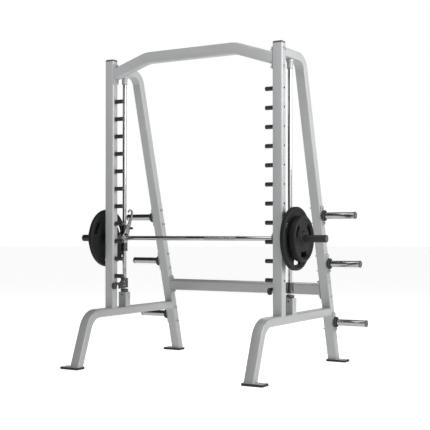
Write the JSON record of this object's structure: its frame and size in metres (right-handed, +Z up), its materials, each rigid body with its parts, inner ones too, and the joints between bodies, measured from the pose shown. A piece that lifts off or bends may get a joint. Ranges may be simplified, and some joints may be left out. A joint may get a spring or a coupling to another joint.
{
  "type": "smith machine",
  "caption": "Smith machine: tube frame with guide rods, a hooking bar on sliding carriages, peg racks, safety stops, plates and storage horns.",
  "frame": {"origin": "on the floor under the middle of the machine's bounding box", "axes": "+X right along the bar as the user faces the bar from the front, +Y to the back, +Z up"},
  "size_m": [2.036, 1.4219, 2.285],
  "materials": {
    "silver_paint": "satin powder coat",
    "chrome": "polished",
    "bare_steel": "satin",
    "black_rubber": "matte",
    "black_plastic": "fine grain",
    "black_coated_steel": "satin black",
    "black_gloss": "gloss",
    "nylon": "smooth",
    "plate_coat": "matte coated"
  },
  "bodies": {
    "frame": {"left_base_rail": "silver_paint", "left_bump_ring": "black_rubber", "left_front_foot_pad": "black_rubber", "left_front_foot_plate": "silver_paint", "left_guide_rod": "chrome", "left_lower_horn": "chrome", "left_lower_horn_flange": "black_rubber", "left_middle_horn": "chrome", "left_middle_horn_flange": "black_rubber", "left_peg_rack": "black_coated_steel", "left_rear_foot_pad": "black_rubber", "left_rear_foot_plate": "silver_paint", "left_rear_leg": "silver_paint", "left_rod_post": "silver_paint", "left_rod_socket": "silver_paint", "left_upper_horn": "chrome", "left_upper_horn_flange": "black_rubber", "left_upright": "silver_paint", "left_upright_cap": "black_plastic", "rear_crossbar": "silver_paint", "right_base_rail": "silver_paint", "right_bump_ring": "black_rubber", "right_front_foot_pad": "black_rubber", "right_front_foot_plate": "silver_paint", "right_guide_rod": "chrome", "right_lower_horn": "chrome", "right_lower_horn_flange": "black_rubber", "right_middle_horn": "chrome", "right_middle_horn_flange": "black_rubber", "right_peg_rack": "black_coated_steel", "right_rear_foot_pad": "black_rubber", "right_rear_foot_plate": "silver_paint", "right_rear_leg": "silver_paint", "right_rod_post": "silver_paint", "right_rod_socket": "silver_paint", "right_upper_horn": "chrome", "right_upper_horn_flange": "black_rubber", "right_upright": "silver_paint", "right_upright_cap": "black_plastic", "top_crossbar": "silver_paint"},
    "carriages": {"left_carriage": "black_gloss", "left_linear_bearing": "bare_steel", "left_bar_bearing": "bare_steel", "right_carriage": "black_gloss", "right_linear_bearing": "bare_steel", "right_bar_bearing": "bare_steel"},
    "bar": {"bar": "chrome", "left_sleeve": "black_coated_steel", "left_hook": "bare_steel", "right_sleeve": "black_coated_steel", "right_hook": "bare_steel"},
    "left_large_plate": {"left_large_plate": "plate_coat"},
    "left_small_plate": {"left_small_plate": "plate_coat"},
    "left_stop_slider": {"left_stop_bush": "nylon"},
    "left_stop": {"left_safety_stop": "black_coated_steel"},
    "right_large_plate": {"right_large_plate": "plate_coat"},
    "right_small_plate": {"right_small_plate": "plate_coat"},
    "right_stop_slider": {"right_stop_bush": "nylon"},
    "right_stop": {"right_safety_stop": "black_coated_steel"}
  },
  "joints": [
    {"name": "carriage_travel", "type": "slide", "parent": "frame", "child": "carriages", "axis": [0, 0, 1], "range_m": [-0.13, 0.91]},
    {"name": "bar_turn", "type": "hinge", "parent": "carriages", "child": "bar", "pos_m": [0, -0.1835, 0.9285], "axis": [1, 0, 0], "range_deg": [0, 38.7]},
    {"name": "left_large_plate_slide", "type": "slide", "parent": "bar", "child": "left_large_plate", "axis": [-1, 0, 0], "range_m": [0, 0.26]},
    {"name": "left_small_plate_slide", "type": "slide", "parent": "left_large_plate", "child": "left_small_plate", "axis": [-1, 0, 0], "range_m": [0, 0.23]},
    {"name": "left_stop_lift", "type": "slide", "parent": "frame", "child": "left_stop_slider", "axis": [0, 0, 1], "range_m": [0, 0.03]},
    {"name": "left_stop_swing", "type": "hinge", "parent": "left_stop_slider", "child": "left_stop", "pos_m": [-0.7, -0.0887, 0.58], "axis": [0, 0, 1], "range_deg": [0, 75]},
    {"name": "right_large_plate_slide", "type": "slide", "parent": "bar", "child": "right_large_plate", "axis": [1, 0, 0], "range_m": [0, 0.26]},
    {"name": "right_small_plate_slide", "type": "slide", "parent": "right_large_plate", "child": "right_small_plate", "axis": [1, 0, 0], "range_m": [0, 0.23]},
    {"name": "right_stop_lift", "type": "slide", "parent": "frame", "child": "right_stop_slider", "axis": [0, 0, 1], "range_m": [0, 0.03]},
    {"name": "right_stop_swing", "type": "hinge", "parent": "right_stop_slider", "child": "right_stop", "pos_m": [0.7, -0.0887, 0.58], "axis": [0, 0, -1], "range_deg": [0, 75]}
  ]
}
